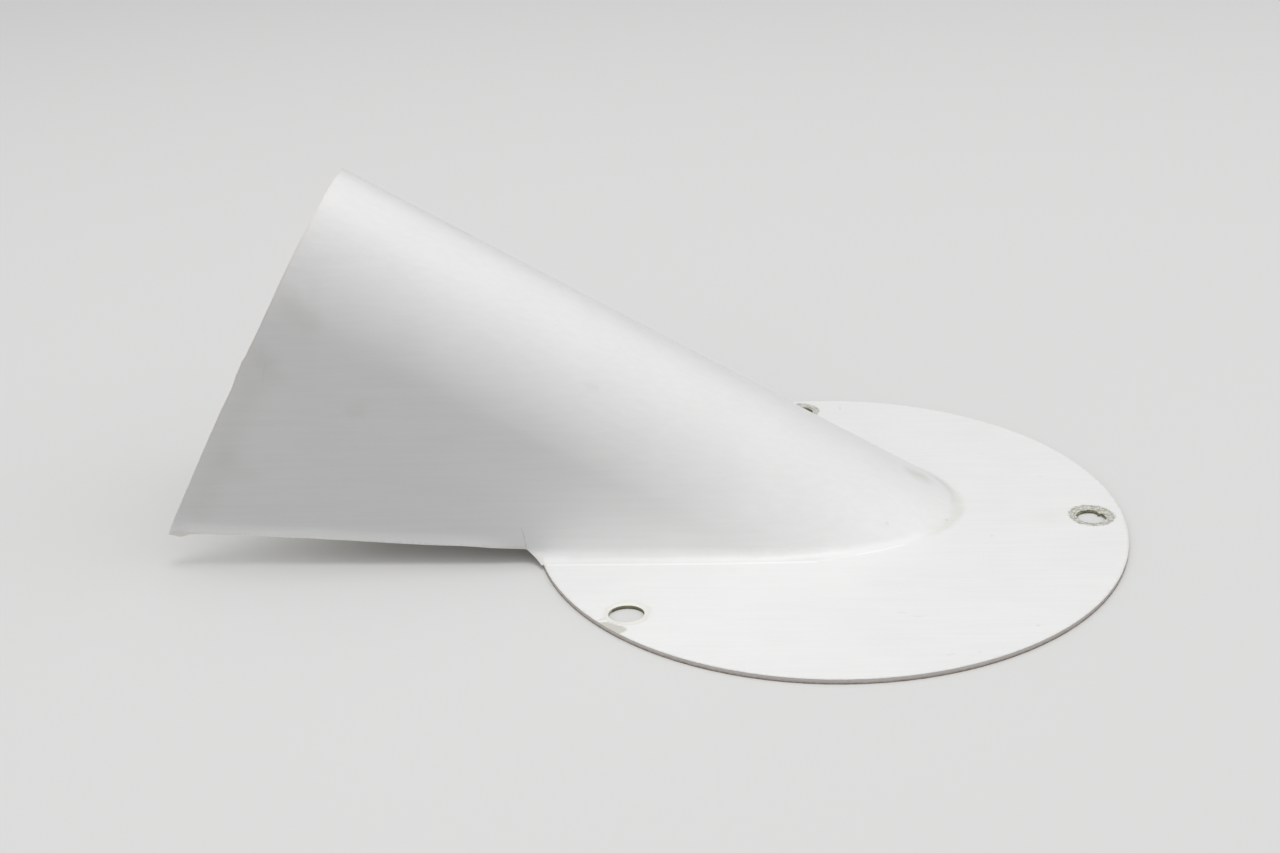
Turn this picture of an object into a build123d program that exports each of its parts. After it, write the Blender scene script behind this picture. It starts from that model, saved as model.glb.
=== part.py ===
from build123d import *
from math import asin, atan, cos, degrees, radians, sin, sqrt, tan
import os

# The cover is one moulding of painted glass fibre: a round plate, and a long hood that rises
# from it and runs out past its rim. Lengths are millimetres and angles are degrees.
# The origin is the middle of the plate's underside. +X runs along the hood towards its nose,
# and +Z points away from the skin that the plate is screwed to.

# Driving dimensions
plate_dia = 133.4        # round plate, edge to edge
wall = 1.1               # thickness of the laminate, the same all over
hood_width = 55.4        # over both side walls, at the plate
hood_offset = 8.0        # the hood's middle line, left of the plate's middle
nose_x = 30.4            # where the ridge comes down to the plate
hood_run = 136.4         # from the nose back to the top of the mouth, along the plate
ridge_angle = 31.1       # slope of the ridge above the plate
wall_lean = 5.0          # draft of the side walls
nose_arch = 26.7         # height of the crown's half ellipse at the nose
mouth_arch = 38.2        # and at the mouth, where it stands taller
mouth_skew = 3.6         # the mouth is cut this far out of square, its far side longer
root_radius = 3.0        # hollow round between the hood and the plate
skirt_height = 2.4       # lower edge of the free walls, above the plate, where they begin
skirt_angle = 3.4        # slope of that edge, up towards the mouth
runout = 3.0             # how far past the rim the cut has run when it reaches that edge
runout_step = 0.6        # and how far past the rim it starts, at the plate
screw_inset = 6.7        # middle of a screw hole, in from the rim
screw_angles = (-135.0, -1.5, 94.5)
screw_hole_dia = 6.8
screw_seat_dia = 10.0    # shallow dish that the screw's head has pressed round its hole
screw_seat_depth = 0.3

# Sizes and places that follow from them
plate_radius = plate_dia / 2
half_width = hood_width / 2
lean = radians(wall_lean)
ridge_slope = tan(radians(ridge_angle))
mouth_x = nose_x - hood_run
mouth_height = hood_run * ridge_slope
root_centre = half_width + root_radius * (1 - sin(lean)) / cos(lean)
skirt_half = root_centre - sqrt(root_radius**2 - (root_radius - skirt_height) ** 2)
free_x = -sqrt((plate_radius + runout) ** 2 - (skirt_half - hood_offset) ** 2)
margin = 2 * root_radius + runout
hood_spans = 5           # straight stretches that the crown's slow change of section is laid in


def stations(start, end):
    """Places along the hood where its section is drawn, evenly spaced."""
    return [start + (end - start) * i / hood_spans for i in range(hood_spans + 1)]


def across(x):
    """Upright plane across the hood; its zero is the hood's middle line, level with the plate's top."""
    return Plane(origin=(x, hood_offset, wall), x_dir=(0, 1, 0), z_dir=(1, 0, 0))


def crown(x, inset):
    """Half ellipse over the ridge, and the point where it runs into the leaning wall."""
    height = (nose_x - x) * ridge_slope
    arch = nose_arch + (mouth_arch - nose_arch) * height / mouth_height
    spring = height - arch
    rise = arch - inset / cos(radians(ridge_angle))
    wall_half = half_width - inset / cos(lean) - spring * tan(lean)
    half = sqrt(wall_half**2 - (rise * tan(lean)) ** 2)
    turn = atan(rise * tan(lean) / half)
    side_y = half * cos(turn)
    side_z = spring + rise * sin(turn)
    turn = degrees(turn)
    arc = EllipticalCenterArc((0, spring), half, rise, turn, arc_size=180 - 2 * turn)
    return arc, side_y, side_z


def filled_section(x, inset):
    """Section of the hood as if it were solid, carried down well below the plate."""
    arc, side_y, side_z = crown(x, inset)
    depth = hood_width
    low_y = half_width - inset / cos(lean) + depth * tan(lean)
    rest = Polyline((side_y, side_z), (low_y, -depth), (-low_y, -depth), (-side_y, side_z))
    return across(x) * make_face([*arc.edges(), *rest.edges()])


def filled_hood(inset, floor):
    """The hood over the plate as a solid, from one level up."""
    places = [free_x - margin, *stations(free_x, nose_x + half_width / 2)]
    body = loft([filled_section(x, inset) for x in places], ruled=True)
    return split(body, bisect_by=Plane.XY.offset(floor), keep=Keep.TOP)


def round_root(body, level, radius):
    """Rounds the inner corner where the hood leaves a flat face."""
    corner = [
        edge
        for edge in body.edges().filter_by_position(Axis.Z, level - 0.01, level + 0.01)
        if edge.center().X > free_x - margin / 2
        and edge.center().X < nose_x + margin / 2
        and abs(edge.center().Y - hood_offset) < half_width + margin / 2
    ]
    return fillet(corner, radius)


def rooted_part():
    """Plate and front of the hood in one even skin, not yet cut to its outline."""
    reach = plate_radius + margin
    sheet = Pos(0, 0, wall / 2) * Box(2 * reach + 2 * margin, 2 * reach, wall)
    air = Pos(0, 0, -margin / 2) * Box(2 * reach + 4 * margin, 2 * reach + margin, margin)
    outside = round_root(sheet + filled_hood(0, 0), wall, root_radius)
    inside = round_root(air + filled_hood(wall, -margin / 2), 0, root_radius + wall)
    return outside - inside


def kept_outline():
    """What stays of that skin: the round plate, the run-out above its rim, and all above the skirt."""
    edge_level = wall + skirt_height
    reach = plate_radius + 2 * margin
    plate = Pos(0, 0, -margin / 2) * Cylinder(plate_radius, 2 * wall + margin)
    run = Pos(0, 0, wall + skirt_height / 2) * Cone(
        plate_radius + runout_step, plate_radius + runout, skirt_height
    )
    above = Pos(0, 0, edge_level + mouth_height / 2) * Box(2 * reach, 2 * reach, mouth_height)
    return plate + run + above


def skirt_side(inset, rise):
    """One root arc of the free hood, from its cut lower edge up to the leaning wall."""
    radius = root_radius + inset
    centre_y = root_centre - rise * tan(lean)
    centre_z = rise + root_radius
    cut = asin((root_radius - skirt_height) / radius)
    angles = (cut, (cut + lean) / 2, lean)
    return [(centre_y - radius * cos(a), centre_z - radius * sin(a)) for a in angles]


def skin_line(x, inset):
    """One face of the free hood's skin, from lower edge over the ridge to lower edge."""
    rise = (free_x - x) * tan(radians(skirt_angle))
    arc, side_y, side_z = crown(x, inset)
    foot, middle, top = skirt_side(inset, rise)
    right = ThreePointArc(foot, middle, top) + Line(top, (side_y, side_z))
    left = mirror(right, about=Plane.YZ)
    return [*left.edges(), *arc.edges(), *right.edges()], foot


def skin_section(x):
    """Section of the free hood: two parallel faces closed along the lower edges."""
    outer, outer_foot = skin_line(x, 0)
    inner, inner_foot = skin_line(x, wall)
    right = Line(outer_foot, inner_foot)
    left = mirror(right, about=Plane.YZ)
    return across(x) * make_face([*outer, *inner, right, *left.edges()])


def free_part():
    """Hood behind the plate, cut off nearly square to its ridge at the mouth."""
    tail_x = mouth_x - (mouth_height + wall) * ridge_slope - margin
    skin = loft([skin_section(x) for x in stations(free_x, tail_x)], ruled=True)
    along_ridge = Vector(-cos(radians(ridge_angle)), 0, sin(radians(ridge_angle)))
    mouth = Plane(
        origin=(mouth_x, hood_offset, wall + mouth_height), z_dir=along_ridge.rotate(Axis.Z, mouth_skew)
    )
    return split(skin, bisect_by=mouth, keep=Keep.BOTTOM)


def screw_cuts():
    """Screw holes with the dishes round them."""
    cuts = []
    for angle in screw_angles:
        place = Rot(0, 0, angle) * Pos(plate_radius - screw_inset, 0, 0)
        hole = Pos(0, 0, wall / 2) * Cylinder(screw_hole_dia / 2, 3 * wall)
        dish = Pos(0, 0, wall - screw_seat_depth / 2) * Cone(
            screw_hole_dia / 2, screw_seat_dia / 2, screw_seat_depth
        )
        cuts += [place * hole, place * dish]
    return cuts


front = split(rooted_part() & kept_outline(), bisect_by=Plane.YZ.offset(free_x), keep=Keep.TOP)
cover = front + free_part()
for cut in screw_cuts():
    cover -= cut

os.makedirs("parts", exist_ok=True)
cover.label = "flap_cover"
export_step(cover, "parts/flap_cover.step")
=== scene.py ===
from math import atan2, cos, exp, radians, sin, tan

import bmesh
import bpy
from mathutils import Matrix, Vector, noise


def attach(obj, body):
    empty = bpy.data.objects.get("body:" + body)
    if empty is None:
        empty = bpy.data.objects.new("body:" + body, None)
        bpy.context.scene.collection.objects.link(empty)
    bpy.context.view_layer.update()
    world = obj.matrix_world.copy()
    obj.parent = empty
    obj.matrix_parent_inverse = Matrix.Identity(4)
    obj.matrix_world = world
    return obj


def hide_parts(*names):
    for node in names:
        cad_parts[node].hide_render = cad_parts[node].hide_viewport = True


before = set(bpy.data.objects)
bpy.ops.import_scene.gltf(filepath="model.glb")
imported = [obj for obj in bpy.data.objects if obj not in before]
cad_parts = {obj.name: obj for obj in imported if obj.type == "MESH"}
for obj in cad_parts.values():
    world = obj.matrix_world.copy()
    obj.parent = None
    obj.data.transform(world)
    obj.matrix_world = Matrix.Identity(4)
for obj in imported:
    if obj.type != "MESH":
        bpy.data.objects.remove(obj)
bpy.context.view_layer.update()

# Lengths in this script are millimetres until they reach Blender, which works in metres.
MM = 0.001
FORWARD = (1.0, 0.0, 0.0)
ACROSS = (0.0, 1.0, 0.0)
UP = (0.0, 0.0, 1.0)

# The camera that took the photograph, in metres, and its lens
EYE = (-0.01071, -0.29756, 0.15845)
EYE_RIGHT = (0.99531, 0.08036, -0.05380)
EYE_UP = (0.01594, 0.41234, 0.91089)
LENS_MM = 40.5
SENSOR_MM = 36.0

# Floor and light, in metres. The fades are in the sky direction's share backwards and upwards.
FLOOR_SIZE = 12.0
FLOOR_SEEN = (0.68, 0.68, 0.675, 1.0)
FLOOR_PASSED_ON = (0.07, 0.07, 0.07, 1.0)
SKY_STRENGTH = 0.85
BEHIND_DIMMED = 0.78
BEHIND_FADE = (0.05, 0.45)
LOW_FADE = (0.75, 0.40)
LAMP_PLACE = (0.05, 0.0, 1.55)
LAMP_TARGET = (-0.04, 0.0, 0.0)
LAMP_SIZE = 0.8
LAMP_WATTS = 7.6

# The moulding's own measures that its finish follows
PLATE_RADIUS = 66.7
WALL = 1.1
HOOD_MIDDLE = 8.0
RIDGE_ANGLE = radians(31.1)
MOUTH_TOP = (-106.0, 8.0, 83.4)
MOUTH_SKEW = radians(3.6)
FREE_X = -67.0
LOWER_EDGE = 3.5
LOWER_ANGLE = radians(3.4)
SCREW_SIDE = (-42.4, -42.4, WALL)
SCREW_NOSE = (59.98, -1.57, WALL)
SCREW_FAR = (-4.7, 59.8, WALL)
SEAT_RADIUS = 5.0
BORE_RADIUS = 3.4

ALONG_RIDGE = Vector((-cos(RIDGE_ANGLE), 0.0, sin(RIDGE_ANGLE)))
OUT_OF_MOUTH = Vector(
    (-cos(RIDGE_ANGLE) * cos(MOUTH_SKEW), -cos(RIDGE_ANGLE) * sin(MOUTH_SKEW), sin(RIDGE_ANGLE))
)
UP_FROM_LOWER_EDGE = Vector((sin(LOWER_ANGLE), 0.0, cos(LOWER_ANGLE)))

# How the saw and the file left the near wall: its end by height, and its lower edge by place
MOUTH_TRIM = (
    (7.5, -1.1), (8.7, -0.9), (10.2, -0.5), (16.0, -0.35), (23.6, -0.16), (31.0, 0.03), (42.1, -0.05),
    (43.2, -0.09), (44.0, 0.26), (45.7, 0.18), (48.2, 0.3), (49.6, 0.08), (56.0, 0.0),
)
LOWER_TRIM = (
    (-149.0, 0.0), (-147.3, -0.49), (-146.2, -0.66), (-144.9, -0.4), (-144.0, 0.02), (-134.6, 0.26),
    (-116.0, 0.38), (-98.0, 0.17), (-79.7, 0.29), (-72.9, 0.07), (-67.0, 0.0),
)

# How the far wall, which isn't seen, follows those tables
FAR_MOUTH_SHARE = 0.5
FAR_LOWER_SHIFT = 5.0

# How deep the trimming reaches, and where the skin is scored for it
TRIM_DEPTH = 4.0
MOUTH_SCORES = (0.6, 1.8, TRIM_DEPTH)
LOWER_SCORES = (0.4, 0.9, 1.5, 2.2, 3.0, TRIM_DEPTH)
EAR_X = -139.0
MOUTH_WANDER = 0.12
LOWER_WANDER = 0.1
EDGE_FLARE = 0.38
CORNER_FADE = 7.0
EDGE_ROUND = 0.3

# Wear of the screw holes
BORE_MARGIN = 0.15
SEAT_MARGIN = 0.1
OVAL_LONGER = 0.11
OVAL_NARROWER = 0.03
OVAL_SHIFT = 0.25
TORN_NARROWER = 0.2
FLAP_LENGTH = 0.75
FLAP_TURN = radians(42.0)
FLAP_SPREAD = 0.2
BORE_SHIFT = 0.35
SEAT_SHIFT = 0.3
RIM_SHIFT = 0.25
NOSE_RING = (59.7, -1.57, WALL)

# The order of the finishes on the shell
PAINTED = 0
BARE = 1
CUT = 2

# Marks on the paint: start, end, half width and strength of each
SMUDGES_AND_FOOT_SHADE = (
    ((20.6, 9.6, 6.4), (22.7, 10.3, 5.6), 4.2, 0.12),
    # The next mark is painted shade: a grey band in the fillet along the near wall's foot, where shade falls
    ((-56.0, -21.3, 2.6), (-2.0, -21.0, 2.6), 2.6, 0.045),
    ((49.3, -2.1, 1.1), (51.0, -1.0, 1.1), 6.0, 0.025),
    ((-51.4, -11.6, 39.1), (-50.2, -11.6, 39.0), 1.6, 0.05),
    ((-114.4, -14.4, 60.0), (-110.0, -14.6, 57.0), 4.6, 0.06),
    ((-121.6, -15.4, 50.1), (-119.0, -15.6, 45.0), 4.0, 0.04),
    ((-132.8, -17.6, 25.4), (-129.0, -17.8, 22.0), 4.6, 0.035),
    ((-103.0, -16.5, 36.5), (-101.5, -16.5, 36.8), 3.0, 0.04),
    ((-122.5, -15.6, 47.0), (-141.0, -18.6, 14.0), 6.0, 0.045),
)
SPECKS = (
    ((27.0, -3.4, 1.1), (27.2, -3.2, 1.1), 0.6, 0.14),
    ((13.0, -11.1, 4.7), (13.3, -11.1, 4.7), 0.6, 0.12),
    ((36.1, -10.7, 1.1), (36.4, -10.7, 1.1), 0.5, 0.12),
    ((40.0, -47.9, 1.1), (40.2, -47.7, 1.1), 0.5, 0.12),
    ((13.0, -42.6, 1.1), (14.4, -42.8, 1.1), 0.4, 0.07),
    ((16.3, -44.3, 1.1), (17.6, -44.2, 1.1), 0.4, 0.07),
    ((21.3, -58.3, 1.1), (22.4, -58.0, 1.1), 0.4, 0.08),
    ((27.1, -57.3, 1.1), (27.9, -57.2, 1.1), 0.4, 0.08),
    ((51.2, 18.8, 1.1), (52.0, 18.2, 1.1), 0.5, 0.06),
    ((39.2, 31.8, 1.1), (40.4, 31.4, 1.1), 0.5, 0.06),
    ((6.0, 60.5, 1.1), (6.0, 62.0, 1.1), 0.5, 0.10),
    ((-104.3, -2.2, 77.6), (-102.0, -3.4, 76.6), 0.35, 0.04),
    ((-121.1, -15.6, 47.6), (-122.2, -16.0, 43.6), 0.4, 0.03),
    ((-47.9, -45.2, 1.1), (-47.0, -44.7, 1.1), 0.6, 0.16),
)
CRACK = (
    ((-67.1, -19.5, 3.8), (-67.0, -19.4, 5.0), 0.2, 0.25),
    ((-67.0, -19.4, 5.0), (-67.7, -19.1, 8.5), 0.2, 0.22),
    ((-66.2, -19.9, 3.4), (-65.2, -20.6, 2.5), 0.2, 0.22),
)
# Painted highlight: a lighter line along the hood's foot, standing in for the fillet's bright crease
ROOT_HIGHLIGHT_LINE = (
    ((-62.0, -22.45, WALL), (-22.0, -22.4, WALL), 0.5, 1.0),
    ((-22.0, -22.4, WALL), (-3.0, -21.8, WALL), 0.5, 1.0),
    ((-3.0, -21.8, WALL), (6.0, -18.9, WALL), 0.5, 0.3),
    ((6.0, -18.9, WALL), (11.2, -17.0, WALL), 0.5, 0.75),
    ((11.2, -17.0, WALL), (16.5, -14.6, WALL), 0.5, 0.75),
)
STAIN_START = (-46.6, -47.4, 1.1)
STAIN_END = (-43.6, -49.0, 1.1)
STAIN_WIDTH = 2.3
STAIN_STRENGTH = 0.75
RUB_CENTRE = (13.4, 5.5, 0.0)
RUB_RADIUS = 17.3
RUB_STRENGTH = 0.10

# Colours of the paint, and the heights of its relief
PAINT = (0.80, 0.80, 0.795)
# How much of each colour the grime and the painted shade take away
GRIME_AND_SHADE_TAKES = (0.95, 1.0, 1.2)
STREAK_TONE = 0.012
CLOUD_TONE = 0.008
# Lighter white of the painted highlight along the hood's foot
ROOT_HIGHLIGHT_WHITE = (0.89, 0.89, 0.885, 1.0)
STAIN_BEIGE = (0.50, 0.49, 0.42, 1.0)
EDGE_BEIGE = (0.56, 0.52, 0.44, 1.0)
EDGE_ROSE = (0.80, 0.75, 0.70, 1.0)
CRACK_DARK = (0.10, 0.08, 0.06, 1.0)
PAINT_RELIEF = 0.012
TORN_RELIEF = 0.25
CRACK_DEPTH = 0.13

# Rings round the screws: shares of the ramps' reach from a screw's axis, and the colour there
RAMP_REACH = 8.0
TORN_LAYERS = (
    (0.40, (0.30, 0.27, 0.17)), (0.44, (0.68, 0.67, 0.57)), (0.49, (0.36, 0.35, 0.26)),
    (0.52, (0.70, 0.69, 0.60)), (0.57, (0.50, 0.49, 0.40)), (0.61, (0.47, 0.47, 0.39)),
    (0.66, (0.78, 0.78, 0.74)),
)
# The darker band at the edge of the dish is painted shade; the faint warm tone inside is the pressed paint's
# own
PRESSED_RING_AND_SHADE = (
    (0.44, (1.0, 0.98, 0.93)), (0.50, (0.99, 0.98, 0.94)), (0.57, (0.93, 0.925, 0.89)),
    (0.61, (0.955, 0.95, 0.93)), (0.66, (1.0, 1.0, 1.0)),
)

# The bare inside. The weave's rate is in radians of its wave for each millimetre.
WEAVE_RATE = 3.4
WEAVE_THREADS = (((1.0, 0.0, 0.0), 0.0), ((0.0, 0.7, 0.7), 1.57))
WEAVE_RELIEF = 0.03
RESIN_RELIEF = 0.15
LAMINATE_PALE = (0.66, 0.63, 0.50, 1.0)
LAMINATE_DARK = (0.52, 0.48, 0.34, 1.0)
CLOTH_PALE = (0.76, 0.74, 0.66, 1.0)

# The trimmed edges: colours by height, as shares of twice the wall
FIBRE_PALE = (0.66, 0.62, 0.52, 1.0)
FIBRE_RELIEF = 0.2
RIM_LAYERS = (
    (0.03, (0.22, 0.15, 0.11)), (0.10, (0.52, 0.44, 0.38)), (0.20, (0.72, 0.67, 0.63)),
    (0.34, (0.82, 0.79, 0.77)),
)
# The brown and olive bands are the laminate's layers; the darkest stop, at the bottom of the bore, is painted
# shade
BORE_LAYERS_AND_SHADE = (
    (0.10, (0.16, 0.15, 0.10)), (0.22, (0.36, 0.34, 0.23)), (0.34, (0.24, 0.21, 0.12)),
    (0.42, (0.30, 0.19, 0.08)),
)


# Wiring of the materials

class Wiring:
    """Lays out the nodes of one material or node group."""

    def __init__(self, tree):
        self.tree = tree

    def add(self, kind, **settings):
        node = self.tree.nodes.new(kind)
        for name, value in settings.items():
            setattr(node, name, value)
        return node

    def feed(self, socket, value):
        """Links an output to the socket, or sets the plain value on it."""
        if isinstance(value, bpy.types.NodeSocket):
            self.tree.links.new(value, socket)
        else:
            socket.default_value = value

    def math(self, operation, first, second=0.0):
        node = self.add("ShaderNodeMath", operation=operation)
        self.feed(node.inputs[0], first)
        self.feed(node.inputs[1], second)
        return node.outputs[0]

    def product(self, first, *others):
        """All the values multiplied together."""
        for other in others:
            first = self.math("MULTIPLY", first, other)
        return first

    def vector(self, operation, first, second=(0.0, 0.0, 0.0), output=0):
        node = self.add("ShaderNodeVectorMath", operation=operation)
        self.feed(node.inputs[0], first)
        self.feed(node.inputs[1], second)
        return node.outputs[output]

    def along(self, vector, direction):
        """How far a vector goes in a direction."""
        return self.vector("DOT_PRODUCT", vector, direction, output=1)

    def scaled(self, vector, factor):
        node = self.add("ShaderNodeVectorMath", operation="SCALE")
        self.feed(node.inputs[0], vector)
        self.feed(node.inputs["Scale"], factor)
        return node.outputs[0]

    def fade(self, value, start, end, low=0.0, high=1.0):
        """Smooth change from low to high as the value goes from start to end."""
        node = self.add("ShaderNodeMapRange", interpolation_type="SMOOTHSTEP")
        limits = {"Value": value, "From Min": start, "From Max": end, "To Min": low, "To Max": high}
        for name, number in limits.items():
            self.feed(node.inputs[name], number)
        return node.outputs[0]

    def mix(self, factor, first, second):
        """Colour between two colours."""
        node = self.add("ShaderNodeMix", data_type="RGBA")
        self.feed(node.inputs[0], factor)
        self.feed(node.inputs[6], first)
        self.feed(node.inputs[7], second)
        return node.outputs[2]

    def noise(self, vector, scale, detail, roughness=0.5):
        node = self.add("ShaderNodeTexNoise")
        self.feed(node.inputs["Vector"], vector)
        self.feed(node.inputs["Scale"], scale)
        self.feed(node.inputs["Detail"], detail)
        self.feed(node.inputs["Roughness"], roughness)
        return node.outputs

    def grain(self, vector, scale, detail=2.0, roughness=0.5):
        """Random value from 0 to 1, mostly near a half."""
        return self.noise(vector, scale, detail, roughness)["Fac"]

    def stirred(self, place, scale, amount):
        """The place moved about at random, so that what is drawn by it gets a natural outline."""
        centred = self.vector("SUBTRACT", self.noise(place, scale, 3.0)["Color"], (0.5, 0.5, 0.5))
        return self.vector("ADD", place, self.scaled(centred, amount))

    def ramp(self, factor, *stops):
        """Colour ramp from (position, colour) stops."""
        node = self.add("ShaderNodeValToRGB")
        ramp = node.color_ramp
        while len(ramp.elements) < len(stops):
            ramp.elements.new(0.5)
        for element, (position, colour) in zip(ramp.elements, stops):
            element.position = position
            element.color = (*colour, 1.0)
        self.feed(node.inputs[0], factor)
        return node.outputs[0]

    def group(self, tree, **values):
        node = self.add("ShaderNodeGroup", node_tree=tree)
        for name, value in values.items():
            self.feed(node.inputs[name.capitalize()], value)
        return node.outputs[0]

    def place_mm(self):
        """Object coordinates in millimetres."""
        return self.scaled(self.add("ShaderNodeTexCoord").outputs["Object"], 1.0 / MM)

    def raise_surface(self, surface, height):
        """Relief from a height in millimetres."""
        bump = self.add("ShaderNodeBump")
        bump.inputs["Distance"].default_value = MM
        self.feed(bump.inputs["Height"], height)
        self.feed(surface["Normal"], bump.outputs["Normal"])


def new_group(name, sockets, result):
    """Empty node group with named inputs and one output, and the wiring that fills it."""
    tree = bpy.data.node_groups.new(name, "ShaderNodeTree")
    for label, kind in sockets:
        tree.interface.new_socket(label, in_out="INPUT", socket_type=f"NodeSocket{kind}")
    tree.interface.new_socket(result, in_out="OUTPUT", socket_type="NodeSocketFloat")
    wires = Wiring(tree)
    return wires, wires.add("NodeGroupInput").outputs, wires.add("NodeGroupOutput").inputs


def mark_group():
    """Mask of a mark along a short line: 1 on the line, 0 past its width."""
    sockets = (("Place", "Vector"), ("Start", "Vector"), ("End", "Vector"), ("Width", "Float"))
    wires, given, out = new_group("mark_along_line", sockets, "Mask")
    run = wires.vector("SUBTRACT", given["End"], given["Start"])
    offset = wires.vector("SUBTRACT", given["Place"], given["Start"])
    reach = wires.math("DIVIDE", wires.along(offset, run), wires.along(run, run))
    nearest = wires.scaled(run, wires.math("MINIMUM", wires.math("MAXIMUM", reach, 0.0), 1.0))
    gap = wires.vector("LENGTH", wires.vector("SUBTRACT", offset, nearest), output=1)
    wires.feed(out["Mask"], wires.fade(gap, 0.0, given["Width"], 1.0, 0.0))
    return wires.tree


def ring_group():
    """Distance of a place from an upright axis through a centre."""
    sockets = (("Place", "Vector"), ("Centre", "Vector"))
    wires, given, out = new_group("round_screw", sockets, "Distance")
    offset = wires.vector("SUBTRACT", given["Place"], given["Centre"])
    flat = wires.vector("MULTIPLY", offset, (1.0, 1.0, 0.0))
    wires.feed(out["Distance"], wires.vector("LENGTH", flat, output=1))
    return wires.tree


def depth_group():
    """Depth of a place behind a cut plane."""
    sockets = (("Place", "Vector"), ("Point", "Vector"), ("Out", "Vector"))
    wires, given, out = new_group("behind_cut", sockets, "Depth")
    offset = wires.vector("SUBTRACT", given["Point"], given["Place"])
    wires.feed(out["Depth"], wires.along(offset, given["Out"]))
    return wires.tree


def streak_group():
    """Faint streaks along the hood, left by rubbing down and by wiping."""
    sockets = (("Place", "Vector"), ("Scale", "Float"))
    wires, given, out = new_group("rubbed_streaks", sockets, "Value")
    drawn = wires.vector("MULTIPLY", given["Place"], (0.05, 1.0, 1.0))
    wires.feed(out["Value"], wires.grain(drawn, given["Scale"], 3.0, 0.6))
    return wires.tree


def new_material(name):
    material = bpy.data.materials.new(name)
    material.use_nodes = True
    return material, Wiring(material.node_tree), material.node_tree.nodes["Principled BSDF"].inputs


# Camera, floor and light

def place_camera():
    """Camera where the photograph was taken from, in the part's own frame."""
    right = Vector(EYE_RIGHT).normalized()
    up = Vector(EYE_UP)
    up = (up - up.dot(right) * right).normalized()
    data = bpy.data.cameras.new("camera")
    data.lens = LENS_MM
    data.sensor_width = SENSOR_MM
    camera = bpy.data.objects.new("camera", data)
    bpy.context.collection.objects.link(camera)
    turn = Matrix((right, up, right.cross(up))).transposed()
    camera.matrix_world = Matrix.Translation(Vector(EYE)) @ turn.to_4x4()
    bpy.context.scene.camera = camera


def floor_material():
    """Pale paper where it is seen or shown by gloss, and dark for the light that it passes on."""
    material, wires, surface = new_material("floor_paper")
    path = wires.add("ShaderNodeLightPath").outputs
    seen = wires.math("MAXIMUM", path["Is Camera Ray"], path["Is Glossy Ray"])
    seen = wires.math("MAXIMUM", seen, path["Is Transmission Ray"])
    wires.feed(surface["Base Color"], wires.mix(seen, FLOOR_PASSED_ON, FLOOR_SEEN))
    surface["Roughness"].default_value = 0.95
    surface["Specular IOR Level"].default_value = 0.0
    return material


def make_floor():
    bpy.ops.object.select_all(action="DESELECT")
    bpy.ops.mesh.primitive_plane_add(size=FLOOR_SIZE, location=(0.0, 0.0, 0.0))
    floor = bpy.context.object
    floor.name = "floor"
    floor.data.materials.append(floor_material())


def light_studio():
    """White sky, dimmed low down behind the part, and one large soft lamp far above it."""
    world = bpy.data.worlds.new("studio")
    world.use_nodes = True
    wires = Wiring(world.node_tree)
    direction = wires.add("ShaderNodeTexCoord").outputs["Generated"]
    behind = wires.fade(wires.along(direction, ACROSS), *BEHIND_FADE)
    low = wires.fade(wires.along(direction, UP), *LOW_FADE)
    unseen = wires.math("SUBTRACT", 1.0, wires.add("ShaderNodeLightPath").outputs["Is Camera Ray"])
    dimmed = wires.product(behind, low, unseen, BEHIND_DIMMED)
    sky = world.node_tree.nodes["Background"].inputs
    sky["Color"].default_value = (1.0, 1.0, 1.0, 1.0)
    wires.feed(sky["Strength"], wires.product(wires.math("SUBTRACT", 1.0, dimmed), SKY_STRENGTH))
    bpy.context.scene.world = world
    bpy.context.scene.view_settings.view_transform = "Standard"

    data = bpy.data.lights.new("soft_lamp", "AREA")
    data.shape = "DISK"
    data.size = LAMP_SIZE
    data.energy = LAMP_WATTS
    lamp = bpy.data.objects.new("soft_lamp", data)
    lamp.location = LAMP_PLACE
    aim = Vector(LAMP_TARGET) - Vector(LAMP_PLACE)
    lamp.rotation_euler = aim.to_track_quat("-Z", "Y").to_euler()
    bpy.context.collection.objects.link(lamp)


# The moulded shell

def mouth_depth(place):
    """Depth behind the plane that the mouth was cut to."""
    return (Vector(MOUTH_TOP) - place).dot(OUT_OF_MOUTH)


def lower_height(place):
    """Height above the line of the free walls' lower edges."""
    return place.z - LOWER_EDGE - (FREE_X - place.x) * tan(LOWER_ANGLE)


def everywhere(middle, normal):
    return True


def free_hood(middle, normal):
    return middle.x < FREE_X


def near_mouth(middle, normal):
    return mouth_depth(middle) < TRIM_DEPTH


def near_lower_edge(middle, normal):
    return middle.x < FREE_X and lower_height(middle) < TRIM_DEPTH


def near_ear(middle, normal):
    return middle.x < EAR_X and lower_height(middle) < TRIM_DEPTH


def round_nose_hole(middle, normal):
    off = (middle.xy - Vector(SCREW_NOSE).xy).length
    return off < SEAT_RADIUS + SEAT_MARGIN and -0.2 < middle.z < WALL + 0.1


def pick_faces(shell, wanted):
    """Selects the faces whose middle, in millimetres, and normal are wanted."""
    mesh = bmesh.from_edit_mesh(shell.data)
    bpy.ops.mesh.select_all(action="DESELECT")
    for face in mesh.faces:
        face.select_set(wanted(face.calc_center_median() / MM, face.normal))
    bmesh.update_edit_mesh(shell.data)


def score_faces(shell, wanted, point, normal):
    """Scores the wanted faces along a plane, so that their edges can be moved there."""
    pick_faces(shell, wanted)
    bpy.ops.mesh.bisect(plane_co=Vector(point) * MM, plane_no=normal)


def steps(start, end, step):
    return [start + step * i for i in range(int(abs(end - start) / abs(step)) + 1)]


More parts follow.
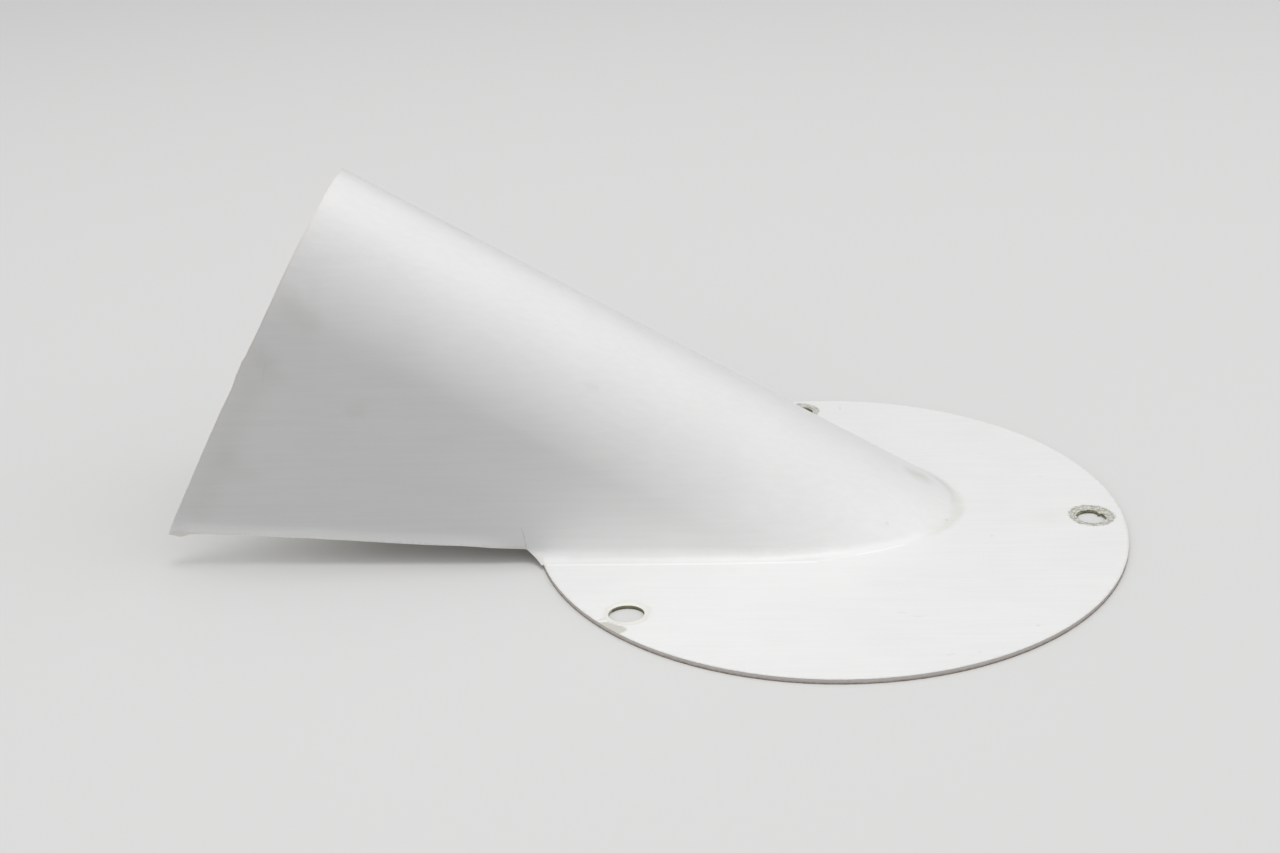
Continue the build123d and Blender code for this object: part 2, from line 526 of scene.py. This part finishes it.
def joined_copy():
    """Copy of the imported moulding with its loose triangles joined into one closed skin."""
    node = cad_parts["flap_cover"]
    bpy.ops.object.select_all(action="DESELECT")
    shell = bpy.data.objects.new("cover_shell", node.data.copy())
    bpy.context.collection.objects.link(shell)
    shell.select_set(True)
    bpy.context.view_layer.objects.active = shell
    bpy.ops.mesh.customdata_custom_splitnormals_clear()
    bpy.ops.object.mode_set(mode="EDIT")
    bpy.ops.mesh.select_all(action="SELECT")
    bpy.ops.mesh.remove_doubles(threshold=0.002 * MM)
    bpy.ops.mesh.dissolve_limited(angle_limit=radians(0.5))
    return shell


def score_edges(shell):
    """Divides the skin along its cut edges finely enough to show how they were trimmed."""
    for depth in MOUTH_SCORES:
        score_faces(shell, everywhere, Vector(MOUTH_TOP) - OUT_OF_MOUTH * depth, OUT_OF_MOUTH)
    for height in LOWER_SCORES:
        score_faces(shell, free_hood, (FREE_X, 0.0, LOWER_EDGE + height), UP_FROM_LOWER_EDGE)
    for level in steps(9.0, 60.0, 1.5):
        score_faces(shell, near_mouth, (0.0, 0.0, level), UP)
    for x in steps(FREE_X - 2.0, -142.0, -3.0):
        score_faces(shell, near_lower_edge, (x, 0.0, 0.0), FORWARD)
    for x in steps(-142.5, -148.0, -0.6):
        score_faces(shell, near_ear, (x, 0.0, 0.0), FORWARD)


def between(table, place):
    """Value at a place from a short table of places and values, with straight runs between them."""
    if place <= table[0][0]:
        return table[0][1]
    for (low, first), (high, second) in zip(table, table[1:]):
        if place <= high:
            return first + (second - first) * (place - low) / (high - low)
    return table[-1][1]


def wander(place, size):
    """Small smooth unevenness of a hand-trimmed edge."""
    return size * noise.noise(place * 0.12) + 0.4 * size * noise.noise(place * 0.6)


def trim_edges(shell):
    """Moves the cut edges of the free hood to where they were trimmed, and flares the lower ones."""
    mesh = bmesh.from_edit_mesh(shell.data)
    for vertex in mesh.verts:
        place = vertex.co / MM
        if place.x > FREE_X:
            continue
        near_side = place.y < HOOD_MIDDLE
        depth = mouth_depth(place)
        height = lower_height(place)
        move = Vector((0.0, 0.0, 0.0))
        if depth < TRIM_DEPTH:
            trim = between(MOUTH_TRIM, place.z) * (1.0 if near_side else FAR_MOUTH_SHARE)
            move += ALONG_RIDGE * (trim + wander(place, MOUTH_WANDER)) * (1.0 - depth / TRIM_DEPTH)
        if height < TRIM_DEPTH:
            lift = between(LOWER_TRIM, place.x if near_side else place.x + FAR_LOWER_SHIFT)
            left = (1.0 - max(height, 0.0) / TRIM_DEPTH) * min(1.0, (FREE_X - place.x) / CORNER_FADE)
            move.z += (lift + wander(place, LOWER_WANDER)) * left
            move.y += (-EDGE_FLARE if near_side else EDGE_FLARE) * left**2
        vertex.co += move * MM
    bmesh.update_edit_mesh(shell.data)


def wear_side_hole(shell):
    """Draws the hole at the side out into the slight oval that its screw has worn."""
    mesh = bmesh.from_edit_mesh(shell.data)
    for vertex in mesh.verts:
        offset = vertex.co / MM - Vector(SCREW_SIDE)
        if offset.xy.length < BORE_RADIUS + BORE_MARGIN:
            vertex.co.x += (OVAL_LONGER * offset.x - OVAL_SHIFT) * MM
            vertex.co.y -= OVAL_NARROWER * offset.y * MM
    bmesh.update_edit_mesh(shell.data)


def roughness_round(turn, level, fineness):
    """Unevenness of the torn hole at a turn round it, more where the screw pulled hardest."""
    pull = 0.6 + 0.4 * sin(turn)
    return pull * noise.noise(Vector((cos(turn) * fineness, sin(turn) * fineness, level)))


def tear_nose_hole(shell):
    """Breaks the edge and the seat of the hole by the nose, where the screw has torn the laminate."""
    pick_faces(shell, round_nose_hole)
    bpy.ops.mesh.subdivide(number_cuts=2)
    mesh = bmesh.from_edit_mesh(shell.data)
    for vertex in mesh.verts:
        place = vertex.co / MM
        offset = (place.xy - Vector(SCREW_NOSE).xy).to_3d()
        reach = offset.length
        if reach > SEAT_RADIUS + SEAT_MARGIN:
            continue
        turn = atan2(offset.y, offset.x)
        outward = offset.normalized()
        ragged = roughness_round(turn, place.z * 1.5, 2.2)
        fine = roughness_round(turn, place.z * 2.0 + 5.0, 7.0)
        flap = FLAP_LENGTH * exp(-((turn - FLAP_TURN) / FLAP_SPREAD) ** 2)
        if reach < BORE_RADIUS + BORE_MARGIN:
            place += outward * (0.3 * ragged + 0.25 * fine - flap - TORN_NARROWER)
            place.x -= BORE_SHIFT
        elif reach < SEAT_RADIUS - SEAT_MARGIN:
            place += outward * 0.25 * fine
            place.x -= SEAT_SHIFT
            place.z += 0.14 * ragged + 0.1 * fine - 0.05
        else:
            place += outward * (0.2 * ragged - 0.1)
            place.x -= RIM_SHIFT
        vertex.co = place * MM
    bmesh.update_edit_mesh(shell.data)


def round_edges(shell):
    """Takes the sharpness off every cut edge, as paint and handling do."""
    bevel = shell.modifiers.new("worn_edges", "BEVEL")
    bevel.width = EDGE_ROUND * MM
    bevel.segments = 3
    bevel.limit_method = "ANGLE"
    bevel.angle_limit = radians(50.0)
    bevel.use_clamp_overlap = True
    bpy.ops.object.modifier_apply(modifier=bevel.name)
    bpy.ops.object.shade_smooth_by_angle(angle=radians(35.0))
    even = shell.modifiers.new("flat_walls", "WEIGHTED_NORMAL")
    even.mode = "FACE_AREA"
    even.keep_sharp = True
    bpy.ops.object.modifier_apply(modifier=even.name)


def in_a_screw_hole(middle, normal):
    offsets = [middle.xy - Vector(screw).xy for screw in (SCREW_SIDE, SCREW_NOSE, SCREW_FAR)]
    return abs(normal.z) < 0.45 and min(offset.length for offset in offsets) < BORE_RADIUS + 0.5


def on_the_rim(middle, normal):
    """Whether a face is part of the plate's rim, or of the cut that runs out of it up to the free walls."""
    from_axis = middle.xy.length
    low_and_upright = middle.z < LOWER_EDGE and abs(normal.z) < 0.55
    if from_axis > PLATE_RADIUS - 0.2 and low_and_upright and middle.x > FREE_X - 2.5:
        return normal.xy.dot(middle.xy) > 0.8 * from_axis * normal.xy.length
    return False


def finish_of_face(middle, normal):
    """Which finish a face has.

    With its walls leaning in, every outer face looks a little upwards and every inner face downwards.
    """
    at_mouth = mouth_depth(middle) < 0.8 and normal.dot(OUT_OF_MOUTH) > 0.8
    at_lower_edge = middle.x < FREE_X and lower_height(middle) < 0.9 and normal.z < 0.02
    if at_mouth or at_lower_edge or in_a_screw_hole(middle, normal) or on_the_rim(middle, normal):
        return CUT
    return PAINTED if normal.z > 0.02 else BARE


def give_finishes(shell, finishes):
    shell.data.materials.clear()
    for material in finishes:
        shell.data.materials.append(material)
    mesh = bmesh.new()
    mesh.from_mesh(shell.data)
    for face in mesh.faces:
        face.material_index = finish_of_face(face.calc_center_median() / MM, face.normal)
    mesh.to_mesh(shell.data)
    mesh.free()


def make_shell(finishes):
    shell = joined_copy()
    score_edges(shell)
    trim_edges(shell)
    wear_side_hole(shell)
    tear_nose_hole(shell)
    bpy.ops.object.mode_set(mode="OBJECT")
    round_edges(shell)
    give_finishes(shell, finishes)
    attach(shell, "root")
    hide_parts("flap_cover")


# Finishes

def gathered(wires, marks, group, place, joined="ADD"):
    """One mask from several marks, each as strong as it is listed."""
    total = 0.0
    for start, end, width, strength in marks:
        mask = wires.group(group, place=place, start=start, end=end, width=width)
        total = wires.math(joined, total, wires.product(mask, strength))
    return total


def grimy_shaded_white(wires, groups, place, loose, streaks):
    """White paint with its streaks, smudges and specks, painted shade along the hood's foot, and the arc
    rubbed round the nose.
    """
    cloud = wires.grain(place, 0.06)
    tone = wires.math(
        "ADD",
        wires.fade(streaks, 0.3, 0.7, -STREAK_TONE, STREAK_TONE),
        wires.fade(cloud, 0.3, 0.7, -CLOUD_TONE, CLOUD_TONE),
    )
    # Smudges and specks; the smudges include the painted shade along the hood's foot
    grime_and_shade = gathered(wires, SMUDGES_AND_FOOT_SHADE, groups["mark"], loose)
    grime_and_shade = wires.math("ADD", grime_and_shade, gathered(wires, SPECKS, groups["mark"], place))
    from_arc = wires.math("SUBTRACT", wires.group(groups["ring"], place=loose, centre=RUB_CENTRE), RUB_RADIUS)
    arc = wires.fade(wires.math("ABSOLUTE", from_arc), 0.3, 2.2, 1.0, 0.0)
    ahead = wires.fade(wires.along(place, FORWARD), 19.0, 27.0)
    grime_and_shade = wires.math("ADD", grime_and_shade, wires.product(arc, ahead, RUB_STRENGTH))
    clean = wires.scaled((1.0, 1.0, 1.0), wires.math("ADD", 1.0, tone))
    return wires.vector("MULTIPLY", PAINT, wires.vector("SUBTRACT", clean, wires.scaled(GRIME_AND_SHADE_TAKES, grime_and_shade)))


def highlight_and_stain(wires, groups, colour, place, rough):
    """Adds a painted highlight, a lighter line along the hood's foot, and the stain by the side hole."""
    # Painted highlight along the hood's foot
    root = gathered(wires, ROOT_HIGHLIGHT_LINE, groups["mark"], place, "MAXIMUM")
    colour = wires.mix(root, colour, ROOT_HIGHLIGHT_WHITE)
    stain = wires.group(groups["mark"], place=rough, start=STAIN_START, end=STAIN_END, width=STAIN_WIDTH)
    return wires.mix(wires.product(wires.fade(stain, 0.1, 0.55), STAIN_STRENGTH), colour, STAIN_BEIGE)


def worn_edges(wires, groups, colour, place, rough):
    """Lets the laminate show faintly where the paint is thin: lower edges, rim and mouth."""
    edge_point = (FREE_X, 0.0, LOWER_EDGE)
    lower = wires.group(groups["depth"], place=rough, point=edge_point, out=-UP_FROM_LOWER_EDGE)
    free = wires.fade(wires.along(place, FORWARD), FREE_X - 1.0, FREE_X + 1.0, 1.0, 0.0)
    lip = wires.product(wires.fade(lower, 0.1, 0.9, 0.3, 0.0), free)
    from_axis = wires.group(groups["ring"], place=rough, centre=(0.0, 0.0, 0.0))
    rim = wires.product(
        wires.fade(from_axis, PLATE_RADIUS - 0.6, PLATE_RADIUS + 0.1, 0.0, 0.4),
        wires.fade(wires.along(place, UP), 1.3, 2.5, 1.0, 0.0),
    )
    colour = wires.mix(wires.math("MAXIMUM", lip, rim), colour, EDGE_BEIGE)
    mouth = wires.group(groups["depth"], place=rough, point=MOUTH_TOP, out=OUT_OF_MOUTH)
    return wires.mix(wires.fade(mouth, 0.15, 0.5, 0.8, 0.0), colour, EDGE_ROSE)


def pressed_ring_and_shade(wires, groups, colour, screw, loose):
    """Tints the ring that a screw's head has pressed into the paint, with painted shade as a darker band at
    the edge of its dish.
    """
    ring = wires.group(groups["ring"], place=loose, centre=screw)
    shade = wires.ramp(wires.math("DIVIDE", ring, RAMP_REACH), *PRESSED_RING_AND_SHADE)
    return wires.vector("MULTIPLY", colour, shade)


def torn_ring(wires, groups, colour, height, screw, place, rough):
    """Shows the broken layers round a torn hole, with scraps of paint kept, most of them in front."""
    ring = wires.group(groups["ring"], place=rough, centre=screw)
    layers = wires.ramp(wires.math("DIVIDE", ring, RAMP_REACH), *TORN_LAYERS)
    bare = wires.fade(ring, 4.7, 5.5, 1.0, 0.0)
    back = wires.along(wires.vector("SUBTRACT", place, screw), ACROSS)
    scraps = wires.fade(wires.grain(place, 0.9, 3.0, 0.6), 0.38, 0.58, 0.0, 0.95)
    kept = wires.product(scraps, wires.fade(back, -5.0, 3.0, 1.0, 0.6))
    colour = wires.mix(wires.product(bare, wires.math("SUBTRACT", 1.0, kept)), colour, layers)
    relief = wires.product(wires.fade(wires.grain(rough, 1.3, 4.0), 0.35, 0.65), bare, TORN_RELIEF)
    return colour, wires.math("ADD", height, relief)


def paint(groups):
    """Satin white paint, rubbed, smudged and worn through round the screws and along the cut edges, with
    painted shade in the hood's foot and at the side screw's dish, and a painted highlight along the foot.
    """
    material, wires, surface = new_material("satin_white_paint")
    place = wires.place_mm()
    loose = wires.stirred(place, 0.35, 1.6)
    rough = wires.stirred(place, 1.4, 1.3)
    streaks = wires.group(groups["streaks"], place=place, scale=0.9)

    colour = grimy_shaded_white(wires, groups, place, loose, streaks)
    colour = highlight_and_stain(wires, groups, colour, place, rough)
    colour = worn_edges(wires, groups, colour, place, rough)
    height = wires.product(wires.grain(place, 0.9, 3.0), PAINT_RELIEF)
    # Pressed ring round the side screw, with painted shade at its dish's edge
    colour = pressed_ring_and_shade(wires, groups, colour, SCREW_SIDE, loose)
    for screw in (NOSE_RING, SCREW_FAR):
        colour, height = torn_ring(wires, groups, colour, height, screw, place, rough)
    crack = gathered(wires, CRACK, groups["mark"], wires.stirred(place, 0.35, 0.8), "MAXIMUM")
    colour = wires.mix(crack, colour, CRACK_DARK)
    height = wires.math("SUBTRACT", height, wires.product(crack, CRACK_DEPTH))

    wires.feed(surface["Base Color"], colour)
    wires.feed(surface["Roughness"], wires.fade(streaks, 0.25, 0.75, 0.36, 0.5))
    wires.raise_surface(surface, height)
    return material


def bare_laminate():
    """Unpainted inside of the moulding: resin over woven glass cloth."""
    material, wires, surface = new_material("bare_glass_laminate")
    place = wires.place_mm()
    loose = wires.stirred(place, 0.2, 1.2)
    weave = 0.0
    for direction, phase in WEAVE_THREADS:
        wave = wires.math("ADD", wires.product(wires.along(loose, direction), WEAVE_RATE), phase)
        weave = wires.math("ADD", weave, wires.math("SINE", wave))
    pools = wires.grain(place, 0.09, 4.0, 0.6)
    colour = wires.mix(wires.fade(pools, 0.35, 0.7), LAMINATE_PALE, LAMINATE_DARK)
    colour = wires.mix(wires.fade(weave, -2.0, 2.0, 0.0, 0.30), colour, CLOTH_PALE)
    grit = wires.product(wires.grain(place, 0.5, 3.0), RESIN_RELIEF)
    wires.feed(surface["Base Color"], colour)
    wires.feed(surface["Roughness"], wires.fade(pools, 0.3, 0.7, 0.62, 0.40))
    wires.raise_surface(surface, wires.math("ADD", wires.product(weave, WEAVE_RELIEF), grit))
    return material


def cut_laminate(groups):
    """Trimmed edge of the laminate, with its layers showing, and painted shade at the bottom of the bores."""
    material, wires, surface = new_material("cut_glass_laminate")
    place = wires.place_mm()
    rough = wires.stirred(place, 1.2, 0.35)
    share = wires.math("DIVIDE", wires.along(rough, UP), 2.0 * WALL)
    from_axis = wires.group(groups["ring"], place=place, centre=(0.0, 0.0, 0.0))
    outside = wires.fade(from_axis, PLATE_RADIUS - 2.0, PLATE_RADIUS - 1.0)
    # The bores go dark at the bottom as painted shade, and the rim darkens towards its bottom
    colour = wires.mix(outside, wires.ramp(share, *BORE_LAYERS_AND_SHADE), wires.ramp(share, *RIM_LAYERS))
    fibres = wires.grain(rough, 3.0, 3.0, 0.6)
    colour = wires.mix(wires.fade(fibres, 0.5, 0.75, 0.0, 0.3), colour, FIBRE_PALE)
    wires.feed(surface["Base Color"], colour)
    surface["Roughness"].default_value = 0.7
    wires.raise_surface(surface, wires.product(fibres, FIBRE_RELIEF))
    return material


place_camera()
make_floor()
light_studio()
shared = {"mark": mark_group(), "ring": ring_group(), "depth": depth_group(), "streaks": streak_group()}
make_shell((paint(shared), bare_laminate(), cut_laminate(shared)))
